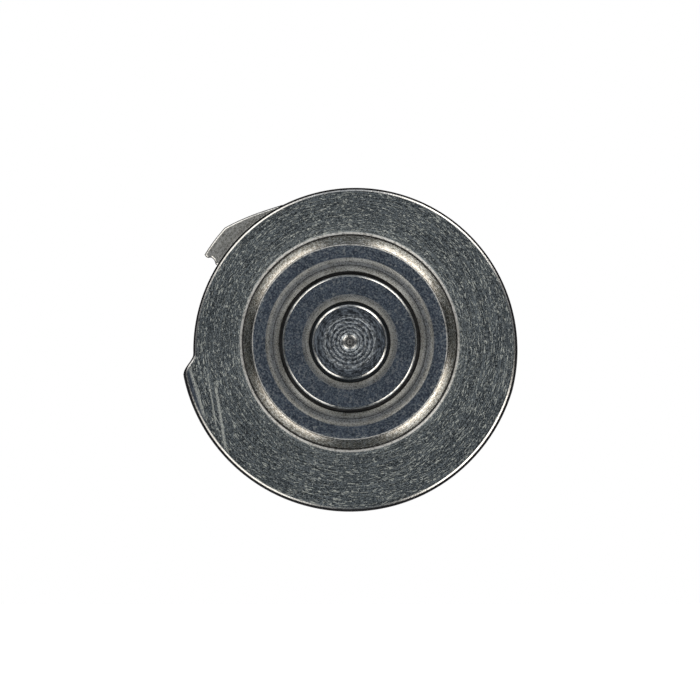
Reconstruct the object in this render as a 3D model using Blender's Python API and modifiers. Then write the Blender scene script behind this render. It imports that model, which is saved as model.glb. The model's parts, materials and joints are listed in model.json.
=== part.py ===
"""Rotary sewing hook with its bobbin case, latch and bobbin, as an assembly of separate pieces.

The hook is drawn lying on its latch side: x to the right, y up and z along the hook's axis, towards the
drive side, with z = 0 on the turned face of the flange. One empty then tips it so that the drive side
faces -Y and the latch side +Y. Lengths are in millimetres until a mesh is made.
"""

import math

import bmesh
import bpy
from mathutils import Vector

MM = 0.001
AIR = 0.3

# Flange, seen from the drive side.
RIM_R = 17.0
RIM_FROM, RIM_TO = 190.2, 345.0
RELIEF_R = 16.235
RELIEF_OFFSET = 0.975
RELIEF_BEARING = -54.6
NUB_FOOT = 184.9
FLANGE_T = 1.3
FLANGE_EDGE = 0.2

# Stepped hub, from the flange outwards.
HUB_FOOT_R, HUB_TOP_R, HUB_H = 10.85, 9.85, 1.0
HUB_LIP_R, HUB_LIP_DEPTH = 8.45, 0.45
BUSH_R, BUSH_TOP, BUSH_FLOOR = 6.75, 3.2, 0.1
JOURNAL_R, JOURNAL_TOP = 3.75, 6.4
SHAFT_HEAD_R, SHAFT_HEAD_T = 5.5, 0.7

# Cup of the hook, with the race for the case base.
CUP_R, CUP_BORE_R, CUP_END = 15.0, 12.9, -10.0
RACE_R, RACE_FLOOR = 13.7, -8.4
HEAVY_R, HEAVY_FROM, HEAVY_TO, HEAVY_TOP = 16.6, 197.0, 338.0, -6.2
GAP_FROM, GAP_TO, GAP_TOP, GAP_END = 150.5, 186.0, -1.9, -7.8

# Hook point.
POINT_TOP, POINT_T, POINT_TIP_T = -1.7, 2.4, 0.8
POINT_FROM, POINT_INNER_R = 72.0, 14.2
POINT_LEAVES, POINT_SHOULDER, POINT_TIP = 115.0, 137.5, 149.0

# Retaining ring and its screws.
RING_TOP, RING_T = CUP_END - AIR, 1.0
RING_BORE_R, RING_R, RING_WIDE_R = 12.8, 14.9, 16.45
RING_SCREW_R = 15.35
RING_SCREW_BEARINGS = (207.0, 267.5, 328.0)

# Case base, with its stud.
BASE_R, BASE_BORE_R = 12.5, 11.6
BASE_TOP, BASE_FLOOR, BASE_END = -2.9, -3.8, -11.8
RIB_R, RIB_TOP, RIB_END = 13.3, -8.8, -9.6
HORN_FROM, HORN_TO, HORN_END, HORN_SLOT = 60.0, 120.0, -14.0, 5.0
STUD_R, STUD_NECK_R, STUD_END = 1.9, 1.1, -15.65

# Bobbin case.
CASE_R, CASE_BORE_R = 11.2, 10.5
CASE_RIM, CASE_PLATE, CASE_FACE = -4.1, -13.35, -16.45
CHANNEL_W, CHANNEL_FLOOR = 6.6, -13.95
CHANNEL_LOW, CHANNEL_HIGH = -8.8, 9.8
TUBE_R, TUBE_BORE_R = 2.7, 2.3
LEAF_R, LEAF_T, LEAF_W, LEAF_Z = 11.5, 0.3, 2.8, -14.1
LEAF_FROM, LEAF_TO = 198.0, 268.0
TENSION_BEARING, FIXING_BEARING = 222.0, 254.0

# Latch.
PIN_Y, PIN_Z, PIN_R = 7.9, -15.25, 0.4
LEVER_W, LEVER_T, LEVER_TOP, LEVER_LOW = 6.0, 0.8, -15.95, -6.4
SLIDE_W, SLIDE_T, SLIDE_TOP = 5.4, 0.6, -14.25
SLIDE_LOW, SLIDE_HIGH, SLIDE_TRAVEL = -6.4, 5.9, 1.7
SPRING_LOW, SPRING_HIGH = -4.7, -2.1
SPRING_R, SPRING_WIRE_R, SPRING_TURNS, SPRING_Z = 0.45, 0.1, 4, -14.8

# Bobbin.
BOBBIN_R, BOBBIN_TUBE_R, BOBBIN_BORE_R = 10.1, 3.55, 3.05
BOBBIN_TOP, BOBBIN_END, BOBBIN_FLANGE_T = -4.5, -12.5, 0.6

FINE, MEDIUM, COARSE = 56, 32, 16

STEEL = ("turned_steel", (0.33, 0.35, 0.36), 0.36)
POLISHED = ("polished_steel", (0.30, 0.33, 0.37), 0.16)
GROUND = ("ground_steel", (0.42, 0.42, 0.39), 0.30)
PLATED = ("plated_steel", (0.55, 0.55, 0.54), 0.24)
SPRUNG = ("spring_steel", (0.40, 0.39, 0.36), 0.28)


def clear_scene():
    for item in list(bpy.data.objects):
        bpy.data.objects.remove(item, do_unlink=True)


def new_collection(name):
    collection = bpy.data.collections.new(name)
    bpy.context.scene.collection.children.link(collection)
    return collection


def metal(finish):
    name, colour, roughness = finish
    made = bpy.data.materials.get(name)
    if made is None:
        made = bpy.data.materials.new(name)
        made.use_nodes = True
        shader = made.node_tree.nodes["Principled BSDF"]
        shader.inputs["Base Color"].default_value = (*colour, 1.0)
        shader.inputs["Roughness"].default_value = roughness
        shader.inputs["Metallic"].default_value = 1.0
    return made


def polar(radius, bearing):
    """A point of the flange's plane, bearing in degrees anticlockwise from the right."""
    angle = math.radians(bearing)
    return (radius * math.cos(angle), radius * math.sin(angle))


def arc(radius, start, end, step=5.0):
    """Points along an arc round the hook's axis, both ends included."""
    count = max(2, round(abs(end - start) / step))
    return [polar(radius, start + (end - start) * i / count) for i in range(count + 1)]


def circle(radius, x=0.0, y=0.0, count=COARSE):
    return [(x + radius * math.cos(math.tau * i / count), y + radius * math.sin(math.tau * i / count))
            for i in range(count)]


def rectangle(x_low, y_low, x_high, y_high):
    return [(x_low, y_low), (x_high, y_low), (x_high, y_high), (x_low, y_high)]


class Shop:
    """Makes the pieces and the cutters, all carried by the tipped hook axis."""

    def __init__(self):
        self.parts = new_collection("rotary_hook_bobbin_case")
        self.cutters = new_collection("cutters")
        self.axis = bpy.data.objects.new("hook_axis", None)
        self.axis.rotation_euler = (math.pi / 2, 0.0, 0.0)
        self.parts.objects.link(self.axis)

    def piece(self, name, mesh, finish, place=(0.0, 0.0, 0.0), turn=(0.0, 0.0, 0.0)):
        made = bpy.data.objects.new(name, mesh)
        made.location = Vector(place) * MM
        made.rotation_euler = turn
        made.parent = self.axis
        self.parts.objects.link(made)
        mesh.materials.append(metal(finish))
        mesh.shade_smooth()
        mesh.set_sharp_from_angle(angle=math.radians(30))
        return made

    def tool(self, name, mesh, place=(0.0, 0.0, 0.0), turn=(0.0, 0.0, 0.0)):
        made = bpy.data.objects.new(name, mesh)
        made.location = Vector(place) * MM
        made.rotation_euler = turn
        made.parent = self.axis
        made.hide_render = True
        made.display_type = "WIRE"
        self.cutters.objects.link(made)
        return made


def boolean(target, tool, operation):
    modifier = target.modifiers.new(f"{operation.lower()} {tool.name}", "BOOLEAN")
    modifier.object = tool
    modifier.operation = operation
    modifier.solver = "EXACT"


def cut(target, *tools):
    for tool in tools:
        boolean(target, tool, "DIFFERENCE")


def join(target, *tools):
    for tool in tools:
        boolean(target, tool, "UNION")


def finished_mesh(name, made):
    """The evaluated mesh of a helper object, welded, with the helper removed."""
    bpy.context.scene.collection.objects.link(made)
    bpy.context.view_layer.update()
    graph = bpy.context.evaluated_depsgraph_get()
    mesh = bpy.data.meshes.new_from_object(made.evaluated_get(graph))
    mesh.name = name
    mesh.materials.clear()
    bpy.data.objects.remove(made, do_unlink=True)
    weld = bmesh.new()
    weld.from_mesh(mesh)
    bmesh.ops.remove_doubles(weld, verts=weld.verts, dist=0.000002)
    bmesh.ops.recalc_face_normals(weld, faces=weld.faces)
    weld.to_mesh(mesh)
    weld.free()
    return mesh


def turned(name, profile, steps, ring=False):
    """A profile of (radius, z) points turned about the axis; a ring's profile is a closed loop."""
    mesh = bpy.data.meshes.new(name)
    edges = [(i, i + 1) for i in range(len(profile) - 1)]
    if ring:
        edges.append((len(profile) - 1, 0))
    mesh.from_pydata([(r * MM, 0.0, z * MM) for r, z in profile], edges, [])
    helper = bpy.data.objects.new(name, mesh)
    screw = helper.modifiers.new("turn", "SCREW")
    screw.axis = "Z"
    screw.steps = steps
    screw.render_steps = steps
    screw.use_merge_vertices = True
    screw.merge_threshold = 0.000002
    return finished_mesh(name, helper)


def plate(name, outlines, low, high, edge=0.0):
    """A flat outline, with any holes after it, as a slab from low to high."""
    curve = bpy.data.curves.new(name, "CURVE")
    curve.dimensions = "2D"
    curve.fill_mode = "BOTH"
    curve.extrude = (high - low) / 2 * MM
    for outline in outlines:
        spline = curve.splines.new("POLY")
        spline.points.add(len(outline) - 1)
        for point, (x, y) in zip(spline.points, outline):
            point.co = (x * MM, y * MM, 0.0, 1.0)
        spline.use_cyclic_u = True
    mesh = finished_mesh(name, bpy.data.objects.new(name, curve))
    for vertex in mesh.vertices:
        vertex.co.z += (low + high) / 2 * MM
    if edge:
        helper = bpy.data.objects.new(name, mesh)
        bevel = helper.modifiers.new("edge", "BEVEL")
        bevel.width = edge * MM
        bevel.segments = 1
        bevel.limit_method = "ANGLE"
        bevel.angle_limit = math.radians(60)
        mesh = finished_mesh(name, helper)
    return mesh


def rod(name, radius, length, steps=COARSE):
    """A plain cylinder along z, centred on its own origin."""
    half = length / 2
    return turned(name, [(0.0, half), (radius, half), (radius, -half), (0.0, -half)], steps)


def box(name, low, high):
    return plate(name, [rectangle(low[0], low[1], high[0], high[1])], low[2], high[2])


def sector(name, inner, outer, start, end, low, high):
    outline = arc(outer, start, end) + arc(inner, end, start)
    return plate(name, [outline], low, high)


def relief_radius(bearing):
    """The flange's eccentric relief, as a radius from the hook's axis."""
    swing = math.radians(bearing - RELIEF_BEARING)
    across = RELIEF_OFFSET * math.sin(swing)
    return RELIEF_OFFSET * math.cos(swing) + math.sqrt(RELIEF_R ** 2 - across ** 2)


def flange_outline():
    """Full radius round the lower side, then the eccentric relief back to the nub's sloped step."""
    full = arc(RIM_R, RIM_FROM + 1.2, RIM_TO, 4.0)
    steps = 50
    start = RIM_TO - 360.0 + 4.0
    relief = []
    for i in range(steps + 1):
        bearing = start + (NUB_FOOT - start) * i / steps
        relief.append(polar(relief_radius(bearing), bearing))
    corner = polar(RIM_R - 0.2, RIM_FROM - 0.4)
    return full + relief + [corner]


def radial_turn(bearing):
    """Turns a piece made along z so that its +z end points outwards at this bearing."""
    return (0.0, math.pi / 2, math.radians(bearing))


def screw_mesh(name, head_r, head_h, shank_r, shank_len):
    """A slotted screw, its head standing on z = 0 and its shank below."""
    chamfer = 0.12
    profile = [(0.0, head_h), (head_r - chamfer, head_h), (head_r, head_h - chamfer), (head_r, 0.0),
               (shank_r, 0.0), (shank_r, -shank_len), (0.0, -shank_len)]
    mesh = turned(name, profile, COARSE)
    helper = bpy.data.objects.new(name, mesh)
    slot = bpy.data.objects.new("slot", box("slot", (-head_r * 2, -0.14, head_h * 0.5),
                                            (head_r * 2, 0.14, head_h * 2)))
    bpy.context.scene.collection.objects.link(slot)
    cut(helper, slot)
    made = finished_mesh(name, helper)
    bpy.data.objects.remove(slot, do_unlink=True)
    return made


def make_hook_body(shop):
    """Snail-shaped flange, chamfered hub, cup wall and heavy rim in one steel body."""
    flange = plate("hook_body", [flange_outline()], -FLANGE_T, 0.0, FLANGE_EDGE)
    body = shop.piece("hook_body", flange, STEEL)
    buried = -FLANGE_T / 2
    slope = (HUB_FOOT_R - HUB_TOP_R) / HUB_H
    hub = turned("hub", [(0.0, HUB_H), (HUB_TOP_R, HUB_H), (HUB_FOOT_R - slope * buried * 0.3, buried * 0.3),
                         (HUB_FOOT_R, buried), (0.0, buried)], FINE)
    wall = turned("cup_wall", [(CUP_BORE_R, buried * 0.8), (CUP_R, buried * 0.8), (CUP_R, CUP_END),
                               (CUP_BORE_R, CUP_END)], FINE, ring=True)
    heavy = sector("heavy_rim", CUP_R - 0.5, HEAVY_R, HEAVY_FROM, HEAVY_TO, CUP_END + 0.04, HEAVY_TOP)
    join(body, shop.tool("hub", hub), shop.tool("cup_wall", wall), shop.tool("heavy_rim", heavy))
    lip = HUB_H - HUB_LIP_DEPTH
    bush_hole, shaft_hole = BUSH_R + AIR, JOURNAL_R + AIR
    over = HUB_LIP_R + (HUB_LIP_R - bush_hole)
    bore = turned("hub_bore", [(0.0, HUB_H + HUB_LIP_DEPTH), (over, HUB_H + HUB_LIP_DEPTH), (bush_hole, lip),
                               (bush_hole, BUSH_FLOOR), (shaft_hole, BUSH_FLOOR), (shaft_hole, -FLANGE_T * 2),
                               (0.0, -FLANGE_T * 2)], FINE)
    race = turned("race", [(0.0, RACE_FLOOR), (RACE_R, RACE_FLOOR), (RACE_R, CUP_END * 1.2),
                           (0.0, CUP_END * 1.2)], FINE)
    gap = sector("needle_gap", CUP_BORE_R - 1.0, HEAVY_R + 2.0, GAP_FROM, GAP_TO, GAP_END, GAP_TOP)
    pocket = sector("point_pocket", POINT_INNER_R - AIR, HEAVY_R + 2.0, POINT_FROM - 1.5, GAP_FROM + 2.0,
                    POINT_TOP - POINT_T - AIR, POINT_TOP + 0.25)
    cut(body, shop.tool("hub_bore", bore), shop.tool("race", race), shop.tool("needle_gap", gap),
        shop.tool("point_pocket", pocket))
    for number, bearing in enumerate(RING_SCREW_BEARINGS, 1):
        name = f"ring_screw_hole_{number}"
        cut(body, shop.tool(name, rod(name, 0.5 + AIR, 6.0), (*polar(RING_SCREW_R, bearing), CUP_END)))


def make_hook_shaft(shop):
    """Stub shaft: the journal that the machine grips, with a head inside the cup."""
    head_top = -FLANGE_T - AIR
    profile = [(0.0, JOURNAL_TOP), (JOURNAL_R - 0.3, JOURNAL_TOP), (JOURNAL_R, JOURNAL_TOP - 0.3),
               (JOURNAL_R, head_top), (SHAFT_HEAD_R, head_top), (SHAFT_HEAD_R, head_top - SHAFT_HEAD_T),
               (0.0, head_top - SHAFT_HEAD_T)]
    shop.piece("hook_shaft", turned("hook_shaft", profile, FINE), POLISHED)


def make_hub_bush(shop):
    """Ring round the shaft, standing out of the hub: its end face is the drive seat."""
    inner = JOURNAL_R + AIR
    foot = BUSH_FLOOR + AIR
    profile = [(inner + 0.45, BUSH_TOP), (BUSH_R - 0.3, BUSH_TOP), (BUSH_R, BUSH_TOP - 0.3), (BUSH_R, foot),
               (inner, foot), (inner, BUSH_TOP - 0.45)]
    shop.piece("hub_bush", turned("hub_bush", profile, FINE, ring=True), POLISHED)


def hook_point_outline():
    """Insert with a beak: it leaves the cup, swells to full radius and ends in the undercut point."""
    swell = 6
    rising = []
    for i in range(1, swell):
        share = i / swell
        bearing = POINT_LEAVES + (POINT_SHOULDER - POINT_LEAVES) * share
        rising.append(polar(CUP_R + 0.3 + (RIM_R - CUP_R - 0.3) * share ** 1.35, bearing))
    flank = arc(RIM_R, POINT_SHOULDER, POINT_TIP, 2.5)
    tip_x, tip_y = polar(RIM_R, POINT_TIP)
    undercut = [(tip_x + 0.3, tip_y - 0.3), (tip_x + 0.7, tip_y - 0.26), (tip_x + 0.95, tip_y - 0.5),
                (tip_x + 1.1, tip_y - 0.95)]
    root = arc(POINT_INNER_R, GAP_FROM - 0.5, POINT_FROM)
    back = arc(CUP_R, POINT_FROM, POINT_LEAVES - 1.0)
    return back + rising + flank + undercut + root


def make_hook_point(shop):
    """Hardened point, brazed in a pocket of the cup just behind the flange."""
    low = POINT_TOP - POINT_T
    point = shop.piece("hook_point", plate("hook_point", [hook_point_outline()], low, POINT_TOP), GROUND)
    length = 12.0
    depth = POINT_T - POINT_TIP_T
    wedge = box("point_taper", (-length, -4.0, -6.0), (length, 4.0, 0.0))
    lean = math.atan2(depth, 9.0)
    x, y = polar(RIM_R - 1.0, POINT_TIP)
    to_root = math.radians(POINT_TIP - 90.0)
    cut(point, shop.tool("point_taper", wedge, (x, y, low + depth), (0.0, lean, to_root)))


def make_retaining_ring(shop):
    """Ring screwed to the front of the cup, which keeps the case base's rib in its race."""
    wide = arc(RING_WIDE_R, HEAVY_FROM + 3.0, HEAVY_TO - 3.0)
    narrow = arc(RING_R, HEAVY_TO + 1.0 - 360.0, HEAVY_FROM - 1.0)
    holes = [circle(0.5 + AIR, *polar(RING_SCREW_R, b), count=14) for b in RING_SCREW_BEARINGS]
    outlines = [wide + narrow, circle(RING_BORE_R, count=FINE)] + holes
    shop.piece("retaining_ring", plate("retaining_ring", outlines, RING_TOP - RING_T, RING_TOP), STEEL)
    seat = RING_TOP - RING_T - AIR
    for number, bearing in enumerate(RING_SCREW_BEARINGS, 1):
        name = f"ring_screw_{number}"
        mesh = screw_mesh(name, 0.95, 0.6, 0.5, 3.2)
        shop.piece(name, mesh, PLATED, (*polar(RING_SCREW_R, bearing), seat),
                   (math.pi, 0.0, math.radians(bearing)))


def make_case_base(shop):
    """Cup that stands still inside the turning hook, with its race rib, horns and lug notch."""
    hole = 1.4 + 0.35
    profile = [(hole, BASE_TOP), (BASE_R, BASE_TOP), (BASE_R, RIB_TOP), (RIB_R, RIB_TOP), (RIB_R, RIB_END),
               (BASE_R, RIB_END), (BASE_R, BASE_END), (BASE_BORE_R, BASE_END), (BASE_BORE_R, BASE_FLOOR),
               (hole, BASE_FLOOR)]
    base = shop.piece("case_base", turned("case_base", profile, FINE, ring=True), STEEL)
    horns = sector("horns", BASE_BORE_R + 0.08, BASE_R - 0.08, HORN_FROM, HORN_TO, HORN_END, BASE_END + 0.8)
    join(base, shop.tool("horns", horns))
    half = HORN_SLOT / 2
    slot = box("finger_slot", (-half, BASE_BORE_R - 2.0, HORN_END - 1.0), (half, BASE_R + 1.0, BASE_END + 0.3))
    notch = box("lug_notch", (BASE_BORE_R - 2.0, -1.5, BASE_END - 1.0), (BASE_R + 1.0, 1.5, BASE_END + 1.5))
    cut(base, shop.tool("finger_slot", slot), shop.tool("lug_notch", notch))


def make_bobbin_stud(shop):
    """Stud riveted into the case base, with a neck near its end for the latch."""
    foot = BASE_FLOOR - AIR
    neck_top, neck_end = CHANNEL_FLOOR, SLIDE_TOP - SLIDE_T - AIR
    profile = [(0.0, BASE_TOP - 0.1), (1.4, BASE_TOP - 0.1), (1.4, foot), (3.2, foot), (3.2, foot - 0.6),
               (STUD_R, foot - 0.6), (STUD_R, neck_top), (STUD_NECK_R, neck_top), (STUD_NECK_R, neck_end),
               (STUD_R, neck_end), (STUD_R - 0.2, STUD_END), (0.0, STUD_END)]
    shop.piece("bobbin_stud", turned("bobbin_stud", profile, 28), POLISHED)


def make_case_shell(shop):
    """Bobbin case: a cup with a thick face, the latch channel, the locating lug and the thread slot."""
    bevel = 0.45
    profile = [(CASE_BORE_R, CASE_RIM), (CASE_R, CASE_RIM), (CASE_R, CASE_FACE + bevel),
               (CASE_R - bevel, CASE_FACE), (TUBE_R + AIR, CASE_FACE), (TUBE_R + AIR, CASE_PLATE),
               (CASE_BORE_R, CASE_PLATE)]
    shell = shop.piece("case_shell", turned("case_shell", profile, FINE, ring=True), PLATED)
    lug = box("lug", (CASE_R - 0.4, -1.1, BASE_END - 1.0), (BASE_R - 0.2, 1.1, BASE_END + 1.1))
    half = CHANNEL_W / 2
    channel = box("latch_channel", (-half, CHANNEL_LOW, CASE_FACE - 1.0), (half, CHANNEL_HIGH, CHANNEL_FLOOR))
    post = box("spring_post", (-0.5, SPRING_LOW - 0.65, SPRING_Z - 0.35), (0.5, SPRING_LOW - 0.2, CASE_PLATE - 0.2))
    pin_hole = rod("pin_hole", PIN_R + AIR, 9.8)
    thread_slot = box("thread_slot", (-0.4, -CASE_R - 1.0, LEAF_Z - 0.3), (0.4, -CASE_BORE_R + 1.0, 0.0))
    join(shell, shop.tool("lug", lug))
    cut(shell, shop.tool("latch_channel", channel))
    join(shell, shop.tool("spring_post", post))
    cut(shell, shop.tool("pin_hole", pin_hole, (0.0, PIN_Y, PIN_Z), (0.0, math.pi / 2, 0.0)),
        shop.tool("thread_slot", thread_slot, (0.0, 0.0, 0.0), (0.0, 0.0, math.radians(LEAF_FROM - 262.0))))
    for bearing, name in ((TENSION_BEARING, "tension_hole"), (FIXING_BEARING, "fixing_hole")):
        cut(shell, shop.tool(name, rod(name, 0.45 + AIR, 2.6), (*polar(CASE_R, bearing), LEAF_Z),
                             radial_turn(bearing)))


def make_case_tube(shop):
    """Tube in the middle of the case that the bobbin turns on and the stud enters."""
    profile = [(TUBE_BORE_R, -5.1), (TUBE_R, -5.1), (TUBE_R, CASE_PLATE - 0.35), (TUBE_BORE_R, CASE_PLATE - 0.35)]
    shop.piece("case_tube", turned("case_tube", profile, 32, ring=True), PLATED)


def make_tension_spring(shop):
    """Leaf spring round the case that pinches the thread, with its two screws."""
    leaf = shop.piece("tension_spring", sector("tension_spring", LEAF_R, LEAF_R + LEAF_T, LEAF_FROM, LEAF_TO,
                                               LEAF_Z - LEAF_W / 2, LEAF_Z + LEAF_W / 2), SPRUNG)
    screws = ((TENSION_BEARING, "tension_screw", 1.05), (FIXING_BEARING, "leaf_fixing_screw", 0.85))
    for bearing, name, head_r in screws:
        hole = f"{name}_clearance"
        cut(leaf, shop.tool(hole, rod(hole, 0.45 + AIR, 2.0), (*polar(LEAF_R, bearing), LEAF_Z),
                            radial_turn(bearing)))
        mesh = screw_mesh(name, head_r, 0.55, 0.45, 1.3)
        shop.piece(name, mesh, PLATED, (*polar(LEAF_R + LEAF_T + AIR, bearing), LEAF_Z), radial_turn(bearing))


def make_latch_lever(shop):
    """Lever on the case's face, hinged near the rim; its window shows the stud's end."""
    half, nose = LEVER_W / 2, 1.2
    outline = [(-half, LEVER_LOW + nose), (-half + nose, LEVER_LOW), (half - nose, LEVER_LOW),
               (half, LEVER_LOW + nose), (half, PIN_Y), (-half, PIN_Y)]
    window = circle(1.5, 0.0, 0.6, 24)
    mesh = plate("latch_lever", [[(x, y - PIN_Y) for x, y in outline], [(x, y - PIN_Y) for x, y in window]],
                 LEVER_TOP - LEVER_T - PIN_Z, LEVER_TOP - PIN_Z)
    place = (0.0, PIN_Y, PIN_Z)
    lever = shop.piece("latch_lever", mesh, PLATED, place)
    along = (0.0, math.pi / 2, 0.0)
    join(lever, shop.tool("lever_barrel", rod("lever_barrel", 1.0, LEVER_W - 0.06, 24), place, along))
    cut(lever, shop.tool("lever_bore", rod("lever_bore", PIN_R + AIR, LEVER_W * 1.5), place, along))


def make_latch_pin(shop):
    shop.piece("latch_pin", rod("latch_pin", PIN_R, 9.2, 16), POLISHED, (0.0, PIN_Y, PIN_Z),
               (0.0, math.pi / 2, 0.0))


def make_latch_slide(shop):
    """Slide under the lever: its keyhole grips the stud's neck, its window holds the spring."""
    half, slot, pass_r = SLIDE_W / 2, STUD_NECK_R + AIR, STUD_R + 0.4
    outline = rectangle(-half, SLIDE_LOW, half, SLIDE_HIGH)
    lean = math.degrees(math.asin(slot / pass_r))
    key = [(slot * math.cos(math.radians(a)), slot * math.sin(math.radians(a))) for a in range(180, 361, 20)]
    start, end = -90.0 + lean, 270.0 - lean
    key += [(pass_r * math.cos(math.radians(start + (end - start) * i / 20)),
             SLIDE_TRAVEL + pass_r * math.sin(math.radians(start + (end - start) * i / 20)))
            for i in range(21)]
    window = rectangle(-0.95, SPRING_LOW - 1.0, 0.95, SPRING_HIGH + AIR)
    shop.piece("latch_slide", plate("latch_slide", [outline, key, window], SLIDE_TOP - SLIDE_T, SLIDE_TOP), SPRUNG)


def make_latch_spring(shop):
    """Coil that pushes the slide home, one unbroken wire."""
    per_turn = 9
    count = SPRING_TURNS * per_turn
    points = []
    for i in range(count + 1):
        turn = math.tau * i / per_turn
        y = SPRING_LOW + (SPRING_HIGH - SPRING_LOW) * i / count
        points.append(Vector((SPRING_R * math.cos(turn), y, SPRING_Z + SPRING_R * math.sin(turn))))
    nearest = min((a - b).length for i, a in enumerate(points) for b in points[i + per_turn // 2:])
    print(f"latch_spring least gap between turns {nearest - 2 * SPRING_WIRE_R:.2f} mm")
    curve = bpy.data.curves.new("latch_spring", "CURVE")
    curve.dimensions = "3D"
    curve.bevel_depth = SPRING_WIRE_R * MM
    curve.bevel_resolution = 1
    curve.use_fill_caps = True
    spline = curve.splines.new("POLY")
    spline.points.add(count)
    for point, place in zip(spline.points, points):
        point.co = (*(place * MM), 1.0)
    shop.piece("latch_spring", finished_mesh("latch_spring", bpy.data.objects.new("latch_spring", curve)), SPRUNG)


def make_anti_spin_washer(shop):
    """Thin washer between the case's plate and the bobbin, which stops the bobbin overrunning."""
    top = BOBBIN_END - AIR
    profile = [(4.4, top), (8.6, top), (8.6, top - 0.25), (4.4, top - 0.25)]
    shop.piece("anti_spin_washer", turned("anti_spin_washer", profile, MEDIUM, ring=True), SPRUNG)


def make_bobbin(shop):
    """Bobbin: a tube with two pierced flanges pressed on."""
    tube = [(BOBBIN_BORE_R, BOBBIN_TOP - 0.5), (BOBBIN_TUBE_R, BOBBIN_TOP - 0.5),
            (BOBBIN_TUBE_R, BOBBIN_END), (BOBBIN_BORE_R, BOBBIN_END)]
    shop.piece("bobbin_tube", turned("bobbin_tube", tube, 32, ring=True), PLATED)
    holes = [circle(1.1, *polar(6.9, 60.0 * i), count=12) for i in range(6)]
    outlines = [circle(BOBBIN_R, count=48), circle(BOBBIN_TUBE_R + AIR + 0.05, count=32)] + holes
    ends = (("bobbin_flange_rear", BOBBIN_TOP - BOBBIN_FLANGE_T), ("bobbin_flange_front", BOBBIN_END))
    for name, low in ends:
        shop.piece(name, plate(name, outlines, low, low + BOBBIN_FLANGE_T), PLATED)


def main():
    clear_scene()
    shop = Shop()
    make_hook_body(shop)
    make_hook_shaft(shop)
    make_hub_bush(shop)
    make_hook_point(shop)
    make_retaining_ring(shop)
    make_case_base(shop)
    make_bobbin_stud(shop)
    make_case_shell(shop)
    make_case_tube(shop)
    make_tension_spring(shop)
    make_latch_lever(shop)
    make_latch_pin(shop)
    make_latch_slide(shop)
    make_latch_spring(shop)
    make_anti_spin_washer(shop)
    make_bobbin(shop)


main()
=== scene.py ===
"""Looks of a rotary sewing hook that carries a latched bobbin case.

Pieces are drawn in millimetres as seen from the drive side, with x to the right, y up and z towards the
viewer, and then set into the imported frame, where the drive side faces -Y.
"""

import json
import math
from typing import Callable, NamedTuple

import bmesh
import bpy
from bpy.props import FloatProperty, FloatVectorProperty, IntProperty, PointerProperty
from mathutils import Matrix, Vector

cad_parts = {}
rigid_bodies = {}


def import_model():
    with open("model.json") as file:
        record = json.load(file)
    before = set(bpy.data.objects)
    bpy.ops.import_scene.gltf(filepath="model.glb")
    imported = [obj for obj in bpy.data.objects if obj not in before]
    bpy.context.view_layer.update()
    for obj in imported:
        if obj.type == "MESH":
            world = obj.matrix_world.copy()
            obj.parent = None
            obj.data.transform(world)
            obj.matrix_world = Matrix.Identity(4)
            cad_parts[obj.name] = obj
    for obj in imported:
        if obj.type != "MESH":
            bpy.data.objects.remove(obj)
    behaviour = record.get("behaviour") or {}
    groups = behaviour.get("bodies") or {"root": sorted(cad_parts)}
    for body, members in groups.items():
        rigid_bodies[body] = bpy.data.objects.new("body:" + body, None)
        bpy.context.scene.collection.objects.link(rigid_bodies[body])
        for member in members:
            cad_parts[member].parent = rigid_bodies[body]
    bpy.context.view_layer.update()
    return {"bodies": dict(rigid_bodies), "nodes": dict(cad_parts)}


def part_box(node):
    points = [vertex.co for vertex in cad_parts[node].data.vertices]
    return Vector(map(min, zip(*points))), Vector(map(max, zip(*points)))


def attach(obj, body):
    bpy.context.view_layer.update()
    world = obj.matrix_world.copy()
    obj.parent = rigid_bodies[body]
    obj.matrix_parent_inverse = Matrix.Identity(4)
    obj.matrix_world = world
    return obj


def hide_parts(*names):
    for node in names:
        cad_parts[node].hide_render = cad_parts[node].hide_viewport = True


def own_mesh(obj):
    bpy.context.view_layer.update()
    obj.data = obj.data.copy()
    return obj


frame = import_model()

bl_info = {
    "name": "Rotary Hook Looks",
    "version": (1, 0, 0),
    "blender": (4, 5, 0),
    "location": "3D View > Sidebar > Hook",
    "description": "Dresses a rotary hook, its bobbin case, latch and bobbin",
    "category": "Object",
}

MM = 0.001
# From the drawing's millimetres to the frame's metres
TO_ROW = Matrix(((MM, 0.0, 0.0, 0.0), (0.0, 0.0, -MM, 0.0), (0.0, MM, 0.0, 0.0), (0.0, 0.0, 0.0, 1.0)))
# Air between pieces that are fixed to each other, in millimetres
AIR = 0.3
# Points of a drawing that are closer than this are one point, in millimetres
WELD = 1e-4
# Edges that bend less than this look smooth, on turned pieces and on dressed nodes
SMOOTH_BELOW = math.radians(32.0)
FACET_BELOW = math.radians(25.0)
# Bearings in degrees: where the nub begins, where it has risen to the full rim, and up to where that stays
NUB_FROM, NUB_TO, FULL_TO = 184.4, 191.5, 270.0
# Where the rim is this much short of its full radius, its edge has its eased width, in millimetres
EDGE_FADE = 0.5


def reach(node):
    """A node's largest radius and its heights along the axis, in millimetres."""
    low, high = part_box(node)
    radius = max(-low.x, high.x, -low.z, high.z)
    return radius / MM, -high.y / MM, -low.y / MM


RIM_R, _, HUB_TOP = reach("hook_body")
BUSH_R, BUSH_FOOT, BUSH_TOP = reach("hub_bush")
JOURNAL_TOP = reach("hook_shaft")[2]


def length(name, description, millimetres):
    return FloatProperty(name=name, description=description, default=millimetres * MM, unit="LENGTH",
                         precision=5)


def share(name, description, default):
    return FloatProperty(name=name, description=description, default=default, min=0.0, max=1.0,
                         subtype="FACTOR")


def tint(name, description, default):
    return FloatVectorProperty(name=name, description=description, default=default, min=0.0, max=1.0,
                               size=3, subtype="COLOR")


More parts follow.
